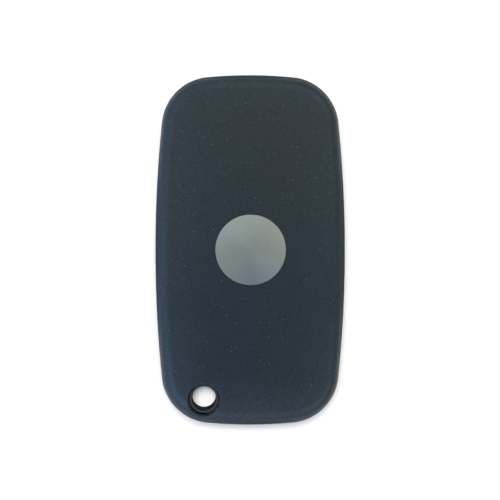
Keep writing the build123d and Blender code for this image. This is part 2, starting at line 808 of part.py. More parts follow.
# Blade: flat steel with a milled wave track in both faces, a bevelled point and a tang
blade_bottom = blade_middle_height - blade_thickness / 2
track_points = [(blade_middle_x, blade_tip_y - track_width), (blade_middle_x, blade_tip_y + past)]
for number in range(int((arm_end_y - track_start - blade_tip_y) / track_pitch)):
    track_side = track_wave / 2 if number % 2 == 0 else -track_wave / 2
    run_start = blade_tip_y + track_pitch * (number + track_run_start)
    run_end = run_start + track_pitch * track_run
    track_points += [(blade_middle_x + track_side, run_start), (blade_middle_x + track_side, run_end)]
track_plan = ribbon(track_points, track_bend, track_width / 2)
with BuildPart() as key_blade:
    with BuildSketch(Plane.XY.offset(blade_bottom)):
        with BuildLine():
            Polyline(
                (blade_inner_edge, arm_end_y),
                (blade_inner_edge, blade_tip_y + blade_point_length / 2),
                (blade_middle_x - blade_width / 6, blade_tip_y),
                (blade_middle_x + blade_width / 6, blade_tip_y),
                (blade_outer_edge, blade_tip_y + blade_point_length),
                (blade_outer_edge, arm_end_y),
                close=True,
            )
        make_face()
    extrude(amount=blade_thickness)
    long_edges = key_blade.edges().filter_by(Axis.Y)
    chamfer(long_edges, length=blade_edge_chamfer)
    with BuildSketch(Plane.XY.offset(blade_bottom)):
        with Locations((blade_middle_x, arm_end_y - past)):
            Rectangle(tang_width, tang_length + past, align=(Align.CENTER, Align.MIN))
    extrude(amount=blade_thickness)
    with BuildSketch(Plane.XY.offset(blade_bottom)):
        add(track_plan)
    extrude(amount=track_depth, mode=Mode.SUBTRACT)
    with BuildSketch(Plane.XY.offset(blade_bottom + blade_thickness - track_depth)):
        add(track_plan)
    extrude(amount=track_depth, mode=Mode.SUBTRACT)
    with BuildSketch(Plane((blade_middle_x, pin_y, blade_bottom))):
        Circle(blade_pin_radius + blade_pin_fit)
    extrude(amount=blade_thickness, mode=Mode.SUBTRACT)
key_blade.part.label = "key_blade"
export_step(key_blade.part, "parts/key_blade.step")

# Release button: a cup with two lugs that slide in the head's slots
with BuildPart() as release_button:
    with BuildSketch(pivot_plane(release_face)):
        Circle(release_radius)
    extrude(amount=release_height)
    fillet(release_button.faces().sort_by(Axis.Z)[0].edges(), radius=release_rim_radius)
    with BuildSketch(pivot_plane(lug_bottom)):
        Rectangle(lug_width, 2 * (release_radius + lug_reach))
    extrude(amount=lug_height)
    with BuildSketch(pivot_plane(release_face + release_floor)):
        Circle(release_radius - release_wall)
    extrude(amount=release_height, mode=Mode.SUBTRACT)
    with BuildSketch(pivot_plane(release_face)):
        Circle(release_groove_radius + release_groove_width / 2)
        Circle(release_groove_radius - release_groove_width / 2, mode=Mode.SUBTRACT)
    extrude(amount=release_groove_depth, mode=Mode.SUBTRACT)
release_button.part.label = "release_button"
export_step(release_button.part, "parts/release_button.step")

# Flip spring: a coil between the cup's floor and the rear shell, its upper leg in the slotted post
spring_radius = release_radius - release_wall - spring_clearance - spring_wire / 2
spring_low = release_face + release_floor + spring_end_gap + spring_wire / 2
spring_high = spring_seat - spring_end_gap - spring_wire / 2
with BuildPart() as flip_spring:
    with BuildLine(pivot_plane(spring_low)) as coil_path:
        Helix(
            pitch=(spring_high - spring_low) / spring_turns,
            height=spring_high - spring_low,
            radius=spring_radius,
        )
    with BuildSketch(Plane(origin=coil_path.line @ 0, z_dir=coil_path.line % 0)):
        Circle(spring_wire / 2)
    sweep(is_frenet=True)
flip_spring.part.label = "flip_spring"
export_step(flip_spring.part, "parts/flip_spring.step")

# Plain round inlay, slightly domed, in the recess of the rear face
inlay_bottom = case_height - inlay_depth
dome_sphere = (inlay_radius**2 + inlay_dome**2) / (2 * inlay_dome)
with BuildPart() as rear_inlay:
    with BuildSketch(Plane.XY.offset(inlay_bottom)):
        Circle(inlay_radius)
    extrude(amount=inlay_rim + inlay_dome)
    with Locations((0, 0, inlay_bottom + inlay_rim + inlay_dome - dome_sphere)):
        Sphere(dome_sphere, mode=Mode.INTERSECT)
rear_inlay.part.label = "rear_inlay"
export_step(rear_inlay.part, "parts/rear_inlay.step")
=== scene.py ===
# %% [markdown]
# # A flip key remote
# The remote lies on its buttons with its plain back up. All its solids arrive at their real size,
# so this lesson only dresses them: it mixes a finish for each material, adds the printed signs and
# the small metalwork that solids leave out, makes again the one spring that has to flatten, and sets
# up a pale table, soft light and a camera.

import json
import math

import bmesh
import bpy
from mathutils import Matrix, Vector


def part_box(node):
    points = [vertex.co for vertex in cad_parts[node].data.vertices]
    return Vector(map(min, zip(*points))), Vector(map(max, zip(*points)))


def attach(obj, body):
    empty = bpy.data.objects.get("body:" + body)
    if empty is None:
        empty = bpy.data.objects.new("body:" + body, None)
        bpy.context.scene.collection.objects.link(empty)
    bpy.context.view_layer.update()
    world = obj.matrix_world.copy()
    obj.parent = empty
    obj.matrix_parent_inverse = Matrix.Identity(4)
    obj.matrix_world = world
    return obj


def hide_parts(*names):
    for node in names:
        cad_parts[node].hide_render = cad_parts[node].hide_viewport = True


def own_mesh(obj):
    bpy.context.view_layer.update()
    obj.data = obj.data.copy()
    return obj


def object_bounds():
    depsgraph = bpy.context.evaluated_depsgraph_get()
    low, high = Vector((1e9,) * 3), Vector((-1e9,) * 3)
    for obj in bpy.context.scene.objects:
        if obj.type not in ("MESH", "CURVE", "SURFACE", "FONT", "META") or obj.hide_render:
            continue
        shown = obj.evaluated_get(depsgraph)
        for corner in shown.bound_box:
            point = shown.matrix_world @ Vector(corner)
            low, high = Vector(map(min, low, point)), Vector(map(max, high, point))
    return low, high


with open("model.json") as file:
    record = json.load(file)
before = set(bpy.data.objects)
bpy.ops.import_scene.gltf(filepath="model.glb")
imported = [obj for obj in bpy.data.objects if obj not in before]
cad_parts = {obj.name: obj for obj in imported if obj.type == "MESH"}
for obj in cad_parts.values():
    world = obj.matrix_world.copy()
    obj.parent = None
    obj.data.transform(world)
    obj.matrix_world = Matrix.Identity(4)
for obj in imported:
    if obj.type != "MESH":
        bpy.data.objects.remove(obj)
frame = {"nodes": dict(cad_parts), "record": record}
nodes = frame["nodes"]
cad_low, cad_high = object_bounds()
mm = 0.001
print("solids:", len(nodes), "size in mm:", [round(side / mm, 2) for side in cad_high - cad_low])

# %% [markdown]
# ## Tools for the finishes
# A colour is picked as sRGB hex, as in any paint program, but shaders add up light and so they need
# linear numbers. One function does that turn. Another adds a node of any kind with its settings, and
# fills its sockets with numbers, colours or links. The sockets go by name, or in the order in which
# the shader editor shows them: a Mix node reads factor, first colour and second colour, and a Map
# Range node reads the value, the two ends of its range, and the two ends of the new range.

# %% Colour and node helpers
def linear(hex_colour):
    """The linear RGBA of one sRGB hex colour."""
    channels = [int(hex_colour[place : place + 2], 16) / 255 for place in (1, 3, 5)]
    return [c / 12.92 if c <= 0.04045 else ((c + 0.055) / 1.055) ** 2.4 for c in channels] + [1.0]


def fill(node, inputs):
    """Fills sockets, by name or in order, with numbers, hex colours, outputs or a node's first output."""
    sockets = [socket for socket in node.inputs if socket.enabled]
    if isinstance(inputs, dict):
        sockets = [next(socket for socket in sockets if socket.name == name) for name in inputs]
        inputs = inputs.values()
    for socket, value in zip(sockets, inputs):
        if isinstance(value, bpy.types.Node):
            value = next(output for output in value.outputs if output.enabled)
        if isinstance(value, bpy.types.NodeSocket):
            node.id_data.links.new(value, socket)
        else:
            socket.default_value = linear(value) if isinstance(value, str) else value


def add_node(tree, kind, inputs=(), **settings):
    """Adds a shader node of any kind with its settings, and fills its sockets."""
    node = tree.nodes.new(f"ShaderNode{kind}")
    for name, setting in settings.items():
        setattr(node, name, setting)
    fill(node, inputs)
    return node


def new_finish(name):
    """A new material, its node tree, and the principled shader that Blender puts into it."""
    material = bpy.data.materials.new(name)
    material.use_nodes = True
    return material, material.node_tree, material.node_tree.nodes["Principled BSDF"]


print("one mid grey in linear light:", round(linear("#808080")[0], 3))

# %% [markdown]
# ## A grain that the finishes share
# Moulded, ground and plated surfaces differ in the size and direction of one and the same thing: a
# random unevenness. So one function makes it, scaled by its real grain in millimetres, and stretched
# where a grinding wheel drew it out. A noise seldom leaves the middle of its range, so most finishes
# spread that middle over their own range, wide for a soft drift and narrow for a stronger one.

# %% Grain
wide_middle = (0.3, 0.7)
narrow_middle = (0.35, 0.65)


def grain(tree, size, detail=2.0, stretch=(1, 1, 1)):
    """Random values with a grain of size millimetres, drawn out along an axis by stretch."""
    place = add_node(tree, "TexCoord").outputs["Object"]
    if stretch != (1, 1, 1):
        squeeze = [1 / factor for factor in stretch]
        place = add_node(tree, "Mapping", {"Vector": place, "Scale": squeeze})
    return add_node(tree, "TexNoise", [place, 1 / (size * mm), detail])


print("a grain of 0.2 mm is a noise scale of", round(1 / (0.2 * mm)))

# %% [markdown]
# ## The case: spark-eroded ABS
# The shells are charcoal ABS, moulded in a cavity whose walls were spark-eroded, which leaves a fine
# even roughness that scatters the light and hides the moulding's flow marks. The eye gets three
# things from it: a grain at the limit of what it can resolve, tiny pale specks of dust that sit in
# the roughness, and a faint drift of the dark colour. Over these the colour paints light and shade:
# the shoulder gets a painted sheen, paler than the middle and the flanks and palest at the ring end,
# its leaning edge gets another painted sheen all along except at the far end, and the flanks get a
# colour of painted shading of their own. The flanks were eroded coarser, so they shine less. The wall
# of the key ring hole is dull, and painted nearly black as painted shade.
# The grain is drawn coarser than the real 0.05 mm, because one pixel of the picture covers 0.2 mm.

# %% Where a point lies on the case
def from_above(tree, centre=(0, 0)):
    """The place of a point as seen from above, from a centre in metres."""
    place = add_node(tree, "TexCoord").outputs["Object"]
    moved = add_node(tree, "VectorMath", [place, (*centre, 0)], operation="SUBTRACT")
    return add_node(tree, "VectorMath", [moved, (1, 1, 0)], operation="MULTIPLY")


def from_middle(tree, border):
    """How far a point lies outside the case's middle, which is the outline less a border in metres."""
    half_case = (cad_high - cad_low) / 2
    middle = (half_case.x - border, half_case.y - border, 0)
    place = add_node(tree, "VectorMath", [from_above(tree)], operation="ABSOLUTE")
    past = add_node(tree, "VectorMath", [place, middle], operation="SUBTRACT")
    past = add_node(tree, "VectorMath", [past, (0, 0, 0)], operation="MAXIMUM")
    return add_node(tree, "VectorMath", [past], operation="LENGTH")


def flatness(tree):
    """1 where the surface lies flat, 0 where it stands upright: the cosine of its lean."""
    normal = add_node(tree, "NewGeometry").outputs["Normal"]
    up = add_node(tree, "SeparateXYZ", [normal]).outputs["Z"]
    return add_node(tree, "Math", [up], operation="ABSOLUTE")


print("the outline is", [round(side / mm, 1) for side in (cad_high - cad_low)[:2]], "mm")

# %% What marks the case
def dust_specks(tree, spacing, reach, kept):
    """Specks of a reach and about a spacing in millimetres, kept is the share of them that shows."""
    place = add_node(tree, "TexCoord").outputs["Object"]
    cells = add_node(tree, "TexVoronoi", [place, 1 / (spacing * mm)])
    luck = add_node(tree, "SeparateColor", [cells.outputs["Color"]])
    rim, core = reach / spacing, 0.3 * reach / spacing
    near = add_node(tree, "MapRange", [cells.outputs["Distance"], rim, core])
    shown = add_node(tree, "MapRange", [luck, 1 - kept, 1.0])
    return add_node(tree, "Math", [near, shown], operation="MULTIPLY")


def painted_shoulder_sheen(tree):
    """The shoulder's colour, a painted sheen that grows paler towards the ring end."""
    sheen_starts, sheen_full = -14 * mm, -34 * mm
    along = add_node(tree, "SeparateXYZ", [from_above(tree)]).outputs["Y"]
    to_ring_end = add_node(tree, "MapRange", [along, sheen_starts, sheen_full])
    return add_node(tree, "Mix", [to_ring_end, "#22313a", "#343d44"], data_type="RGBA")


def leaning_edge_sheen(tree):
    """The colour of the shoulder's leaning edge, a painted sheen that is weaker at the far end."""
    sheen_starts, sheen_full = 32 * mm, 24 * mm
    along = add_node(tree, "SeparateXYZ", [from_above(tree)]).outputs["Y"]
    from_far_end = add_node(tree, "MapRange", [along, sheen_starts, sheen_full])
    return add_node(tree, "Mix", [from_far_end, "#22313a", "#2c383e"], data_type="RGBA")


ring_hole = next(mount for mount in frame["record"]["mounts"] if mount["name"] == "key_ring_hole")


def hole_wall(tree):
    """1 on the wall of the key ring hole, 0 from a little way outside it."""
    radius = ring_hole["dims"]["r_mm"] * mm
    wall_full, wall_ends = radius + 0.04 * mm, radius + 0.12 * mm
    from_axis = add_node(tree, "VectorMath", [from_above(tree, ring_hole["pos_m"][:2])], operation="LENGTH")
    return add_node(tree, "MapRange", [from_axis, wall_ends, wall_full])


print("key ring hole:", 2 * ring_hole["dims"]["r_mm"], "mm wide")

# %% Case plastic
def spark_eroded_abs():
    """Charcoal moulded plastic with a fine even roughness, painted sheen and shade, and specks of dust."""
    material, tree, shader = new_finish("spark_eroded_abs")
    border = 12 * mm
    shoulder = (1 * mm, 9 * mm)
    outer_band = (border - 2.6 * mm, border - 1.2 * mm)
    coarse_band = (border - 1.2 * mm, border - 0.5 * mm)
    past_middle = from_middle(tree, border)
    flat = flatness(tree)
    wall = hole_wall(tree)
    # The flanks' colour is painted shading, set against the painted sheen of the shoulder
    flank_painted_shading = "#22323d"
    drift = add_node(tree, "MapRange", [grain(tree, 22, detail=1.0), *narrow_middle])
    colour = add_node(tree, "Mix", [drift, "#162c36", "#1e2c33"], data_type="RGBA")
    # Flatness is a cosine: the leaning edge comes in between 22 and 27 degrees and goes out between
    # 41 and 46
    edge_in, edge_out = (0.93, 0.89), (0.76, 0.70)
    mottle = add_node(tree, "MapRange", [grain(tree, 0.35, detail=3.0), *narrow_middle, 0.0, 0.5])
    # Coats from the bottom up, each with the share of the surface that it covers
    coats = (
        # Painted sheen: the shoulder is paler, most of all at the ring end
        (add_node(tree, "MapRange", [past_middle, *shoulder]), painted_shoulder_sheen(tree)),
        # Painted shading: the flank colour on the outer band
        (add_node(tree, "MapRange", [past_middle, *outer_band]), flank_painted_shading),
        # Painted sheen on the leaning edge, picked out by its lean
        (add_node(tree, "MapRange", [flat, *edge_in]), leaning_edge_sheen(tree)),
        # Painted shading: the flank colour where the surface leans steeply
        (add_node(tree, "MapRange", [flat, *edge_out]), flank_painted_shading),
        (mottle, "#000000"),
        (dust_specks(tree, spacing=0.6, reach=0.1, kept=0.5), "#4c585d"),
        (dust_specks(tree, spacing=1.0, reach=0.13, kept=0.5), "#78848a"),
        # Painted shade: the wall of the key ring hole is nearly black
        (wall, "#04070d"),
    )
    for share, coat in coats:
        colour = add_node(tree, "Mix", [share, colour, coat], data_type="RGBA")
    rough = add_node(tree, "MapRange", [grain(tree, 3.0), *wide_middle, 0.42, 0.48])
    flank = add_node(tree, "MapRange", [past_middle, *coarse_band, 0.4, 0.85])
    for rougher in (flank, wall):
        rough = add_node(tree, "Math", [rough, rougher], operation="MAXIMUM")
    fine_grain = grain(tree, 0.16, detail=3.0)
    relief = add_node(tree, "Bump", {"Height": fine_grain, "Distance": 0.012 * mm, "Strength": 0.5})
    fill(shader, {"Base Color": colour, "Roughness": rough, "Normal": relief, "IOR": 1.5})
    return material


case_finish = spark_eroded_abs()
print("case finish:", case_finish.name)

# %% [markdown]
# ## The inlay: spun aluminium
# The round inlay is stamped from sheet and finished on a lathe, so its satin lines are circles round
# its middle. A radial tangent turns the gloss across them, and that gives the bright fan that
# such a disc shows. The lines lie 0.12 mm apart, as far as the lathe's tool moves in one turn.

# %% Inlay metal
def spun_aluminium():
    """Satin aluminium with fine turning lines round the middle."""
    material, tree, shader = new_finish("spun_aluminium")
    radius = add_node(tree, "VectorMath", [from_above(tree)], operation="LENGTH")
    lines = add_node(tree, "TexNoise", [radius, 1 / (0.12 * mm), 3.0], noise_dimensions="1D")
    shine = add_node(tree, "MapRange", [lines, *wide_middle])
    colour = add_node(tree, "Mix", [shine, "#a6adae", "#bcc2c2"], data_type="RGBA")
    rough = add_node(tree, "MapRange", [lines, *wide_middle, 0.34, 0.46])
    relief = add_node(tree, "Bump", {"Height": lines, "Distance": 0.006 * mm, "Strength": 0.4})
    tangent = add_node(tree, "Tangent", direction_type="RADIAL", axis="Z")
    fill(shader, {"Base Color": colour, "Roughness": rough, "Normal": relief, "Tangent": tangent})
    fill(shader, {"Metallic": 1.0, "Anisotropic": 0.6})
    return material


inlay_finish = spun_aluminium()
print("inlay finish:", inlay_finish.name)

# %% [markdown]
# ## Metals of the moving parts
# The blade head is a zinc casting with satin nickel plating, slightly warm in colour. The blade is
# ground steel: the wheel left fine lines along it, and the milled track is duller than the faces.
# The release button carries bright chrome. The flip spring is drawn steel wire, and the roll pin has
# the same oiled grey.

# %% How far out a point lies on a solid
def from_centre(tree, box, axis):
    """How far a point lies from the centre of a box along x, y or z, and how far the box reaches."""
    low, high = (getattr(corner, axis) for corner in box)
    place = add_node(tree, "TexCoord").outputs["Object"]
    along = add_node(tree, "SeparateXYZ", [place]).outputs[axis.upper()]
    offset = add_node(tree, "Math", [along, -(low + high) / 2])
    return add_node(tree, "Math", [offset], operation="ABSOLUTE"), (high - low) / 2


blade_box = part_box("key_blade")
print("blade thickness in mm:", round((blade_box[1].z - blade_box[0].z) / mm, 2))

# %% Plated and ground metals
def satin_nickel():
    """Nickel plating on a smooth casting: warm grey, with a soft gloss that hands have made uneven."""
    material, tree, shader = new_finish("satin_nickel")
    cloud = grain(tree, 2.5, detail=3.0)
    colour = add_node(tree, "Mix", [cloud, "#b9b5ad", "#c8c5be"], data_type="RGBA")
    rough = add_node(tree, "MapRange", [cloud, *wide_middle, 0.26, 0.36])
    relief = add_node(tree, "Bump", {"Height": grain(tree, 0.2), "Distance": 0.004 * mm, "Strength": 0.4})
    fill(shader, {"Base Color": colour, "Roughness": rough, "Normal": relief, "Metallic": 1.0})
    return material


def ground_steel():
    """Blade steel with grinding lines along it and a duller milled track."""
    material, tree, shader = new_finish("ground_steel")
    lines = grain(tree, 0.09, detail=3.0, stretch=(1, 60, 1))
    away, to_face = from_centre(tree, blade_box, "z")
    track_starts, track_full = to_face - 0.1 * mm, to_face - 0.3 * mm
    track = add_node(tree, "MapRange", [away, track_starts, track_full])
    shine = add_node(tree, "MapRange", [lines, *wide_middle])
    faces = add_node(tree, "Mix", [shine, "#a9a8a3", "#cbcac5"], data_type="RGBA")
    colour = add_node(tree, "Mix", [track, faces, "#93928d"], data_type="RGBA")
    smooth = add_node(tree, "MapRange", [lines, *wide_middle, 0.22, 0.38])
    rough = add_node(tree, "Math", [track, 0.14, smooth], operation="MULTIPLY_ADD")
    relief = add_node(tree, "Bump", {"Height": lines, "Distance": 0.006 * mm, "Strength": 0.5})
    fill(shader, {"Base Color": colour, "Roughness": rough, "Normal": relief, "Metallic": 1.0})
    return material


def bright_chrome():
    """Chrome plating: nearly a mirror, with the slight haze of handling."""
    material, tree, shader = new_finish("bright_chrome")
    haze = grain(tree, 1.8, detail=4.0)
    colour = add_node(tree, "Mix", [haze, "#cfd2d4", "#dcdfe0"], data_type="RGBA")
    rough = add_node(tree, "MapRange", [haze, 0.35, 0.7, 0.08, 0.2])
    fill(shader, {"Base Color": colour, "Roughness": rough, "Metallic": 1.0})
    return material


def drawn_wire():
    """Spring steel, drawn and oiled: a dark grey with faint streaks."""
    material, tree, shader = new_finish("drawn_wire")
    streaks = grain(tree, 0.15, stretch=(1, 1, 4))
    colour = add_node(tree, "Mix", [streaks, "#77787a", "#9b9c9e"], data_type="RGBA")
    rough = add_node(tree, "MapRange", [streaks, *wide_middle, 0.25, 0.4])
    relief = add_node(tree, "Bump", {"Height": streaks, "Distance": 0.004 * mm, "Strength": 0.4})
    fill(shader, {"Base Color": colour, "Roughness": rough, "Normal": relief, "Metallic": 1.0})
    return material


def plated_sheet(name, dark, light, roughness):
    """Nickel-plated sheet with rolling lines along it."""
    material, tree, shader = new_finish(name)
    lines = grain(tree, 0.12, stretch=(1, 30, 1))
    colour = add_node(tree, "Mix", [lines, dark, light], data_type="RGBA")
    rough = add_node(tree, "MapRange", [lines, *wide_middle, roughness, roughness + 0.12])
    fill(shader, {"Base Color": colour, "Roughness": rough, "Metallic": 1.0})
    return material


head_finish = satin_nickel()
blade_finish = ground_steel()
chrome_finish = bright_chrome()
wire_finish = drawn_wire()
contact_finish = plated_sheet("nickel_strip", "#b3b0a7", "#cfccc4", 0.25)
cell_finish = plated_sheet("nickel_plated_can", "#b5b6b6", "#d2d3d3", 0.2)
metals = (head_finish, blade_finish, chrome_finish, wire_finish, contact_finish, cell_finish)
print("metals:", [metal.name for metal in metals])

# %% [markdown]
# ## Plastics inside and under the thumb
# The caps are plastic under a soft-touch skin of silicone, darker and duller than the case. The
# switch housings, the chips, the white plungers and the ink of the signs differ from them only in
# colour, gloss and grain, so one function serves them all.

# %% Moulded plastics
def moulded(name, dark, light, roughness, grain_size=0.25, relief_depth=0.006):
    """A moulded plastic with a slight drift of its colour and a fine surface grain."""
    material, tree, shader = new_finish(name)
    cloud = add_node(tree, "MapRange", [grain(tree, 8 * grain_size, detail=3.0), *wide_middle])
    colour = add_node(tree, "Mix", [cloud, dark, light], data_type="RGBA")
    rough = add_node(tree, "MapRange", [cloud, 0.0, 1.0, roughness - 0.05, roughness + 0.05])
    height = grain(tree, grain_size)
    relief = add_node(tree, "Bump", {"Height": height, "Distance": relief_depth * mm, "Strength": 0.5})
    fill(shader, {"Base Color": colour, "Roughness": rough, "Normal": relief, "IOR": 1.5})
    return material


cap_finish = moulded("soft_touch_silicone", "#191c1f", "#202427", 0.62, grain_size=0.18)
housing_finish = moulded("black_nylon", "#131415", "#1b1c1d", 0.45)
plunger_finish = moulded("white_nylon", "#cfc8b8", "#ddd7c9", 0.4)
epoxy_finish = moulded("moulded_epoxy", "#17181a", "#202225", 0.55, grain_size=0.12)
sign_finish = moulded("pad_print_grey", "#c3c7c9", "#d2d5d6", 0.5, grain_size=0.1, relief_depth=0.002)
plastics = (cap_finish, housing_finish, plunger_finish, epoxy_finish, sign_finish)
print("plastics:", [plastic.name for plastic in plastics])

# %% [markdown]
# ## The circuit board and what is soldered to it
# The board is glass laminate under a green solder mask. Copper tracks lie under the mask and show as
# paler lines, which a brick pattern imitates well: its joints run straight, meet at right angles and
# never cross. The milled edge of the board shows the raw laminate instead. The coil's turns are the
# bands of a wave, and the capacitors are tan ceramic between two tinned ends.

# %% Board, coil and capacitors
def solder_mask():
    """Green mask over copper tracks, with raw laminate at the board's edge."""
    material, tree, shader = new_finish("solder_mask")
    place = add_node(tree, "TexCoord").outputs["Object"]
    turned = add_node(tree, "Mapping", {"Vector": place, "Rotation": (0, 0, math.radians(45))})
    bricks = {
        "Vector": turned,
        "Scale": 1.0,
        "Mortar Size": 0.14 * mm,
        "Mortar Smooth": 0.1,
        "Brick Width": 4.3 * mm,
        "Row Height": 1.3 * mm,
    }
    tracks = add_node(tree, "TexBrick", bricks).outputs["Fac"]
    routed = add_node(tree, "MapRange", [grain(tree, 4.0, detail=0.0), 0.48, 0.5])
    copper = add_node(tree, "Math", [tracks, routed], operation="MULTIPLY")
    drift = add_node(tree, "MapRange", [grain(tree, 1.5), *wide_middle])
    mask = add_node(tree, "Mix", [drift, "#0c4526", "#125532"], data_type="RGBA")
    faces = add_node(tree, "Mix", [copper, mask, "#3c8a4c"], data_type="RGBA")
    edge_starts, edge_full = 0.7, 0.5
    edge = add_node(tree, "MapRange", [flatness(tree), edge_starts, edge_full])
    colour = add_node(tree, "Mix", [edge, faces, "#b7a566"], data_type="RGBA")
    rough = add_node(tree, "MapRange", [edge, 0.0, 1.0, 0.3, 0.7])
    relief = add_node(tree, "Bump", {"Height": copper, "Distance": 0.035 * mm})
    fill(shader, {"Base Color": colour, "Roughness": rough, "Normal": relief})
    fill(shader, {"IOR": 1.5, "Coat Weight": 0.4, "Coat Roughness": 0.15})
    return material


def enamelled_copper():
    """Glossy turns of coil wire, with painted shade between them and a painted highlight along each,
    between the dark cheeks of the coil's ferrite core.
    """
    material, tree, shader = new_finish("enamelled_copper")
    wire_width = 0.22 * mm
    cheek_width = 1.02 * mm
    coil_blend = 0.02 * mm
    away, to_end = from_centre(tree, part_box("antenna_coil"), "y")
    winding = to_end - cheek_width
    cheek = add_node(tree, "MapRange", [away, winding, winding + coil_blend])
    place = add_node(tree, "TexCoord").outputs["Object"]
    # A wave texture runs through 20 radians a unit, and one turn of wire takes two pi of them
    bands = {"Vector": place, "Scale": math.pi / (10 * wire_width)}
    wave = add_node(tree, "TexWave", bands, bands_direction="Y", wave_profile="SIN")
    turns = wave.outputs["Fac"]
    # Painted shade and highlight: each turn is dark at its sides and bright along its middle, as a round
    # wire is lit
    shaded_winding = add_node(tree, "Mix", [turns, "#5a2812", "#b4622c"], data_type="RGBA")
    colour = add_node(tree, "Mix", [cheek, shaded_winding, "#2a2b2d"], data_type="RGBA")
    metallic = add_node(tree, "MapRange", [cheek, 0.0, 1.0, 0.9, 0.0])
    rough = add_node(tree, "MapRange", [cheek, 0.0, 1.0, 0.35, 0.75])
    round_wire = add_node(tree, "Math", [cheek, turns], operation="MAXIMUM")
    relief = add_node(tree, "Bump", {"Height": round_wire, "Distance": 0.06 * mm})
    fill(shader, {"Base Color": colour, "Metallic": metallic, "Roughness": rough, "Normal": relief})
    fill(shader, {"Coat Weight": 0.5, "Coat Roughness": 0.2})
    return material


def tinned_ceramic():
    """Chip capacitors: a tan ceramic body between two tinned ends."""
    material, tree, shader = new_finish("tinned_ceramic")
    away, to_end = from_centre(tree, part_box("chip_capacitors"), "x")
    tin_starts, tin_full = to_end - 0.36 * mm, to_end - 0.32 * mm
    tinned = add_node(tree, "MapRange", [away, tin_starts, tin_full])
    body = add_node(tree, "Mix", [grain(tree, 0.3), "#9b7c58", "#b0916b"], data_type="RGBA")
    colour = add_node(tree, "Mix", [tinned, body, "#bfc0be"], data_type="RGBA")
    rough = add_node(tree, "MapRange", [tinned, 0.0, 1.0, 0.5, 0.3])
    fill(shader, {"Base Color": colour, "Metallic": tinned, "Roughness": rough, "IOR": 1.6})
    return material


board_finish = solder_mask()
coil_finish = enamelled_copper()
capacitor_finish = tinned_ceramic()
print("electronics finishes:", board_finish.name, coil_finish.name, capacitor_finish.name)

# %% [markdown]
# ## Each solid gets its finish
# The solids keep their shape, so a finish only has to go into their material slot.

# %% Finishes onto solids
finish_of = {
    case_finish: ("rear_cover", "front_cover"),
    inlay_finish: ("rear_inlay",),
    head_finish: ("blade_head",),
    blade_finish: ("key_blade",),
    chrome_finish: ("release_button",),
    wire_finish: ("flip_spring", "blade_pin"),
    cap_finish: ("lock_button", "unlock_button", "boot_button"),
    housing_finish: ("lock_switch", "unlock_switch", "boot_switch"),
    plunger_finish: ("lock_plunger", "unlock_plunger", "boot_plunger"),
    board_finish: ("circuit_board",),
    epoxy_finish: ("controller_chip", "transponder_chip"),
    coil_finish: ("antenna_coil",),
    capacitor_finish: ("chip_capacitors",),
    cell_finish: ("coin_cell",),
    contact_finish: ("crystal_can", "battery_clip_positive", "battery_clip_negative"),
}
for finish, dressed in finish_of.items():
    for name in dressed:
        nodes[name].material_slots[0].material = finish
print("dressed solids:", sum(len(dressed) for dressed in finish_of.values()))

# %% [markdown]
# ## Signs on the caps
# Each cap carries a pad-printed sign: a closed padlock, an open one, and a car with its boot up. Ink
# has a thickness, so each sign is a real plate, a few hundredths of a millimetre proud of the cap.
# A flat shape is drawn first, in millimetres. One function raises it, and another turns it to face
# down with the cap and carries it to its place.

# %% Printed plates
ink = 0.05


def raise_plate(plate, thickness):
    """Turns a flat shape into a closed plate of a thickness in millimetres."""
    raised = bmesh.ops.extrude_face_region(plate, geom=plate.faces[:])
    top = [part for part in raised["geom"] if isinstance(part, bmesh.types.BMVert)]
    bmesh.ops.translate(plate, verts=top, vec=(0, 0, thickness))
    bmesh.ops.recalc_face_normals(plate, faces=plate.faces[:])


def piece_from(shape, name, finish, body):
    """Makes a finished bmesh an object of the remote that moves with a body."""
    mesh = bpy.data.meshes.new(name)
    shape.to_mesh(mesh)
    shape.free()
    piece = bpy.data.objects.new(name, mesh)
    bpy.context.scene.collection.objects.link(piece)
    mesh.materials.append(finish)
    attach(piece, body)
    return piece


def print_on_cap(plate, sign, number, finish):
    """Carries a plate drawn round 0, 0 to the face of a cap, as seen from the button side."""
    low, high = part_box(f"{sign}_button")
    facing_down = Matrix.Rotation(math.pi, 4, "Y")
    to_cap = Matrix.Translation(((low.x + high.x) / 2, (low.y + high.y) / 2, low.z))
    bmesh.ops.transform(plate, matrix=to_cap @ facing_down @ Matrix.Scale(mm, 4), verts=plate.verts[:])
    return piece_from(plate, f"{sign}_sign_{number}", finish, sign)


print("the ink is", ink, "mm thick")

# %% The padlocks
lock_body = {"width": 3.2, "height": 2.4, "corner": 0.35, "centre": (0, -1.15)}
shackle_foot = (0, 0.1)
open_turn = math.radians(32)


def rounded_plate(plate, width, height, corner, centre):
    """Adds a flat rounded rectangle to a shape."""
    made = bmesh.ops.create_grid(plate, x_segments=1, y_segments=1, size=0.5)["verts"]
    bmesh.ops.scale(plate, vec=(width, height, 1), verts=made)
    bmesh.ops.translate(plate, vec=(*centre, 0), verts=made)
    bmesh.ops.bevel(
        plate, geom=made, offset=corner, affect="VERTICES", segments=5, profile=0.5, material=-1
    )


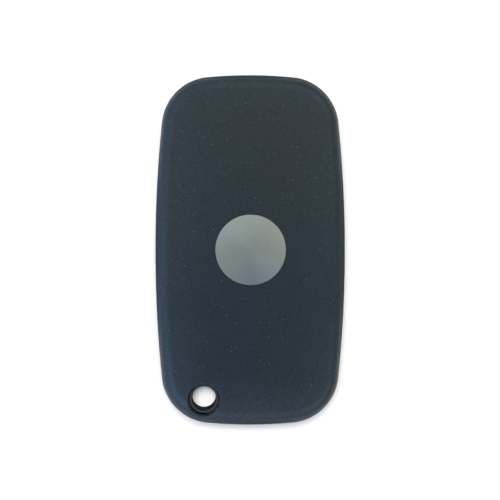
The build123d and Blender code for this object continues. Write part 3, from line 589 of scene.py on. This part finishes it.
def shackle(plate, middle, turn):
    """Adds the flat bow of a padlock, its legs down to middle, turned about its left leg."""
    inner, outer, leg = 0.72, 1.08, 0.5
    start = [plate.verts.new((reach, leg, 0)) for reach in (-inner, -outer)]
    rail = plate.edges.new(start)
    bow = bmesh.ops.spin(
        plate, geom=[rail, *start], cent=(0, leg, 0), axis=(0, 0, 1), angle=-math.pi, steps=20
    )
    legs = [rail, *[part for part in bow["geom_last"] if isinstance(part, bmesh.types.BMEdge)]]
    for end in legs:
        grown = bmesh.ops.extrude_edge_only(plate, edges=[end])["geom"]
        feet = [part for part in grown if isinstance(part, bmesh.types.BMVert)]
        bmesh.ops.translate(plate, verts=feet, vec=(0, -leg, 0))
    pivot = (-(inner + outer) / 2, 0, 0)
    rotation = Matrix.Rotation(turn, 3, "Z")
    bmesh.ops.rotate(plate, cent=pivot, matrix=rotation, verts=plate.verts[:])
    bmesh.ops.translate(plate, vec=(*middle, 0), verts=plate.verts[:])


def padlock(sign, turn):
    """The padlock sign, with its bow turned up by turn where it is open."""
    plate = bmesh.new()
    shackle(plate, shackle_foot, turn)
    rounded_plate(plate, **lock_body)
    raise_plate(plate, ink)
    return print_on_cap(plate, sign, 1, sign_finish)


lock_sign = padlock("lock", 0.0)
unlock_sign = padlock("unlock", open_turn)
print("faces of the padlocks:", [len(sign.data.polygons) for sign in (lock_sign, unlock_sign)])

# %% The car with its boot up
body_outline = (
    (-3.3, -0.9), (3.2, -0.9), (3.3, 0.1), (2.1, 0.3), (1.0, 1.1), (-0.8, 1.1), (-1.7, 0.3), (-3.1, 0.0),
)
lid_outline = ((2.15, 0.55), (1.25, 1.25), (2.7, 2.35), (2.95, 2.0))
wheel_centres = ((-1.9, -0.95), (1.9, -0.95))
arch_radius, wheel_radius = 0.85, 0.6
body_corner, lid_corner = 0.25, 0.1


def flat_outline(plate, outline, corner):
    """Adds a flat face with the given corners, each rounded a little."""
    corners = [plate.verts.new((*point, 0)) for point in outline]
    plate.faces.new(corners)
    bmesh.ops.bevel(
        plate, geom=corners, offset=corner, affect="VERTICES", segments=4, profile=0.5, material=-1
    )


def discs(radius, thickness):
    """Flat discs at the car's wheels."""
    plate = bmesh.new()
    for centre in wheel_centres:
        made = bmesh.ops.create_circle(plate, cap_ends=True, segments=32, radius=radius)["verts"]
        bmesh.ops.translate(plate, vec=(*centre, 0), verts=made)
    raise_plate(plate, thickness)
    return plate


car = bmesh.new()
flat_outline(car, body_outline, body_corner)
flat_outline(car, lid_outline, lid_corner)
raise_plate(car, ink)
# The dark arches stand a little higher than the car, and the wheels a little higher than the arches
print_on_cap(car, "boot", 1, sign_finish)
print_on_cap(discs(arch_radius, 1.4 * ink), "boot", 2, cap_finish)
print_on_cap(discs(wheel_radius, 1.8 * ink), "boot", 3, sign_finish)

# %% [markdown]
# ## Metalwork of the switches
# A tactile switch stands on four terminals that are soldered to the board. They are the same twelve
# times over, so a loop sets out bevelled tabs beside each housing, flat on the board.

# %% Switch terminals
terminal_size = Vector((0.9, 0.7, 0.18))
terminal_offset = 1.8 * mm
terminal_edge = 0.05 * mm
terminals = bmesh.new()
board_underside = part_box("circuit_board")[0].z
terminal_height = board_underside - terminal_size.z * mm / 2
for name in ("lock", "unlock", "boot"):
    low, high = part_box(f"{name}_switch")
    middle = (low + high) / 2
    reach = (high.x - low.x + terminal_size.x * mm) / 2
    for side in (-1, 1):
        for end in (-1, 1):
            tab = bmesh.ops.create_cube(terminals, size=1)["verts"]
            bmesh.ops.scale(terminals, vec=terminal_size * mm, verts=tab)
            spot = (middle.x + side * reach, middle.y + end * terminal_offset, terminal_height)
            bmesh.ops.translate(terminals, vec=spot, verts=tab)
bmesh.ops.bevel(
    terminals,
    geom=terminals.edges[:],
    offset=terminal_edge,
    affect="EDGES",
    segments=2,
    profile=0.5,
    material=-1,
)
piece_from(terminals, "switch_terminals", contact_finish, "case")
print("terminals: 12 tabs of", tuple(round(side, 2) for side in terminal_size), "mm")

# %% [markdown]
# ## The flip spring
# The spring shortens when its button is pushed, which a solid can't do. So the coil is made again
# here in the place of its solid, with the same wire of 0.8 mm and the same 4.5 turns: the spin
# operator turns a round slice of wire about the button's axis and lifts it a little with each step.

# %% Coil
wire = 0.8 * mm
turns = 4.5
steps_per_turn = 40
spring_low, spring_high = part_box("flip_spring")
axis_foot = Vector((*((spring_low + spring_high) / 2).xy, 0))
coil_radius = (spring_high.x - spring_low.x - wire) / 2
coil = bmesh.new()
slice_points = bmesh.ops.create_circle(coil, cap_ends=True, segments=16, radius=wire / 2)["verts"]
bmesh.ops.rotate(coil, matrix=Matrix.Rotation(math.pi / 2, 3, "X"), verts=slice_points)
start = axis_foot + Vector((coil_radius, 0, spring_low.z + wire / 2))
bmesh.ops.translate(coil, vec=start, verts=slice_points)
steps = round(turns * steps_per_turn)
rise = spring_high.z - spring_low.z - wire
bmesh.ops.spin(
    coil,
    geom=[*coil.verts, *coil.edges, *coil.faces],
    cent=axis_foot,
    axis=(0, 0, 1),
    dvec=(0, 0, rise / steps),
    angle=math.tau * turns,
    steps=steps,
)
bmesh.ops.recalc_face_normals(coil, faces=coil.faces[:])
for face in coil.faces:
    face.smooth = len(face.verts) == 4
spring = piece_from(coil, "flip_spring_coil", wire_finish, "case")
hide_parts("flip_spring")
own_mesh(spring)
heights = [round(height / mm, 2) for height in (spring.dimensions.z, spring_high.z - spring_low.z)]
print("height of the coil and of its solid in mm:", heights)

# %% [markdown]
# ## The table
# The table runs out to white and keeps the remote's shadow. Its paint is a mid grey under a strong
# lamp that lights nothing else, so it comes out white without more light on the remote, and the same
# lamp draws the tight shadow. The table's back is clear, and a ray that has passed through it once
# doesn't meet it again. So the button side can be looked at from underneath, in the world's light.

# %% Floor
floor_half = 0.6
floor_gap = 0.01 * mm
floor_shape = bmesh.new()
bmesh.ops.create_grid(floor_shape, x_segments=1, y_segments=1, size=floor_half)
floor_mesh = bpy.data.meshes.new("floor")
floor_shape.to_mesh(floor_mesh)
floor_shape.free()
floor = bpy.data.objects.new("floor", floor_mesh)
floor.location.z = -floor_gap
bpy.context.scene.collection.objects.link(floor)

floor_paint = bpy.data.materials.new("white_table")
floor_paint.use_nodes = True
tree = floor_paint.node_tree
tree.nodes.clear()
paint = add_node(tree, "BsdfDiffuse", {"Color": "#787878"})
clear = add_node(tree, "BsdfTransparent")
passed = add_node(tree, "LightPath").outputs["Transparent Depth"]
under = add_node(tree, "NewGeometry").outputs["Backfacing"]
beneath = add_node(tree, "Math", [passed, under], operation="ADD", use_clamp=True)
table_top = add_node(tree, "MixShader", [beneath, paint, clear])
add_node(tree, "OutputMaterial", {"Surface": table_top})
floor_mesh.materials.append(floor_paint)
print("table:", 2 * floor_half, "m wide")

# %% [markdown]
# ## Soft light
# The world stands for a light tent: bluish to the left, where a window would be, greyer to the right,
# and dimmer upwards, where the camera looks in. Eight softboxes stand round the remote at 40 degrees,
# so that the rounded shoulder has a soft light to mirror on every side, with the strongest beyond the
# near left corner. Three warm ones stand higher and lift the crown. Two suns nearly overhead light
# one thing each: the table, and the shell whose ring tube is seen in the key ring hole.

# %% The light tent
world = bpy.data.worlds.new("light_tent")
bpy.context.scene.world = world
world.use_nodes = True
tree = world.node_tree
tree.nodes.clear()
direction = add_node(tree, "TexCoord").outputs["Generated"]
parts = add_node(tree, "SeparateXYZ", [direction])
to_right = add_node(tree, "MapRange", [parts.outputs["X"], -0.8, 0.8])
horizon = add_node(tree, "Mix", [to_right, "#b4dcff", "#7f8a93"], data_type="RGBA")
upwards = add_node(tree, "MapRange", [parts.outputs["Z"], 0.0, 0.7])
tent = add_node(tree, "Mix", [upwards, horizon, "#54585a"], data_type="RGBA")
seen = add_node(tree, "LightPath").outputs["Is Camera Ray"]
colour = add_node(tree, "Mix", [seen, tent, "#ffffff"], data_type="RGBA")
light = add_node(tree, "Background", {"Color": colour, "Strength": 1.0})
add_node(tree, "OutputWorld", {"Surface": light})
print("world:", world.name)

# %% Softboxes
softbox_distance = 220 * mm
softbox_width = 140 * mm
to_shoulder, to_crown = 40, 62  # degrees above the table


def softbox(name, azimuth, elevation, power, colour):
    """A round lamp that looks at the remote from a direction in degrees."""
    data = bpy.data.lights.new(name, "AREA")
    data.shape = "DISK"
    data.size = softbox_width
    data.energy = power
    data.color = colour
    lamp = bpy.data.objects.new(name, data)
    flat = softbox_distance * math.cos(math.radians(elevation))
    side = math.radians(azimuth)
    rise = softbox_distance * math.sin(math.radians(elevation))
    lamp.location = (flat * math.cos(side), flat * math.sin(side), rise)
    lamp.rotation_euler = lamp.location.to_track_quat("Z", "Y").to_euler()
    bpy.context.scene.collection.objects.link(lamp)


# Daylight from the window, daylight bounced off pale walls, and the neutral and warm light of the room
daylight, bounced, neutral, warm = "#a4cbf7", "#cfe0f4", "#e4ebec", "#fffbdf"
softboxes = (
    ("side_softbox", 0, to_shoulder, 0.01, bounced),
    ("right_softbox", 45, to_shoulder, 0.08, neutral),
    ("far_softbox", 90, to_shoulder, 0.055, neutral),
    ("left_softbox", 135, to_shoulder, 0.06, bounced),
    ("window", 180, to_shoulder, 0.07, daylight),
    ("near_window", 225, to_shoulder, 0.16, daylight),
    ("near_softbox", 270, to_shoulder, 0.065, bounced),
    ("near_right_softbox", 315, to_shoulder, 0.08, neutral),
    ("high_right_softbox", 22, to_crown, 0.035, warm),
    ("high_far_softbox", 90, to_crown, 0.035, warm),
    ("high_left_softbox", 158, to_crown, 0.035, warm),
)
for name, azimuth, elevation, power, tint in softboxes:
    softbox(name, azimuth, elevation, power, linear(tint)[:3])
print("softboxes:", len(softboxes))

# %% Suns
sun_width = math.radians(16)
sun_tilt = (math.radians(-6.5), math.radians(-2), 0)


def overhead_sun(name, power, receiver):
    """A sun nearly overhead, tilted to the far end, that lights only one object."""
    data = bpy.data.lights.new(name, "SUN")
    data.energy = power
    data.angle = sun_width
    lamp = bpy.data.objects.new(name, data)
    lamp.rotation_euler = sun_tilt
    bpy.context.scene.collection.objects.link(lamp)
    only = bpy.data.collections.new(f"lit_by_{name}")
    only.objects.link(receiver)
    lamp.light_linking.receiver_collection = only


overhead_sun("table_light", power=16.0, receiver=floor)
overhead_sun("ring_hole_light", power=0.8, receiver=nodes["front_cover"])

# %% [markdown]
# ## The camera
# The picture looks almost straight down from about 380 mm. The camera stands 9 mm to the left of the
# middle, nearly in line with the key ring hole, which is why the hole shows its lower wall, and its
# two sides alike. The lens takes in 107.1 mm at the height where the outline is widest.

# %% Camera
seen_width = 107.1 * mm
outline_height = 12.2 * mm
camera_height = 380 * mm
camera_shift = -9 * mm
aim_x, aim_y = -0.075 * mm, -0.026 * mm
camera_data = bpy.data.cameras.new("camera")
camera_data.sensor_width = 36
camera_data.lens = camera_data.sensor_width * camera_height / seen_width
camera = bpy.data.objects.new("camera", camera_data)
target = Vector((aim_x, aim_y, outline_height))
stand = target + Vector((camera_shift, 0, camera_height))
back = (stand - target).normalized()
right = Vector((0, 1, 0)).cross(back).normalized()
turn = Matrix((right, back.cross(right), back)).transposed().to_4x4()
camera.matrix_world = Matrix.Translation(stand) @ turn
camera_data.clip_start = 10 * mm
bpy.context.scene.collection.objects.link(camera)
bpy.context.scene.camera = camera
bpy.context.scene.view_settings.view_transform = "Standard"
print("lens:", round(camera_data.lens, 1), "mm")
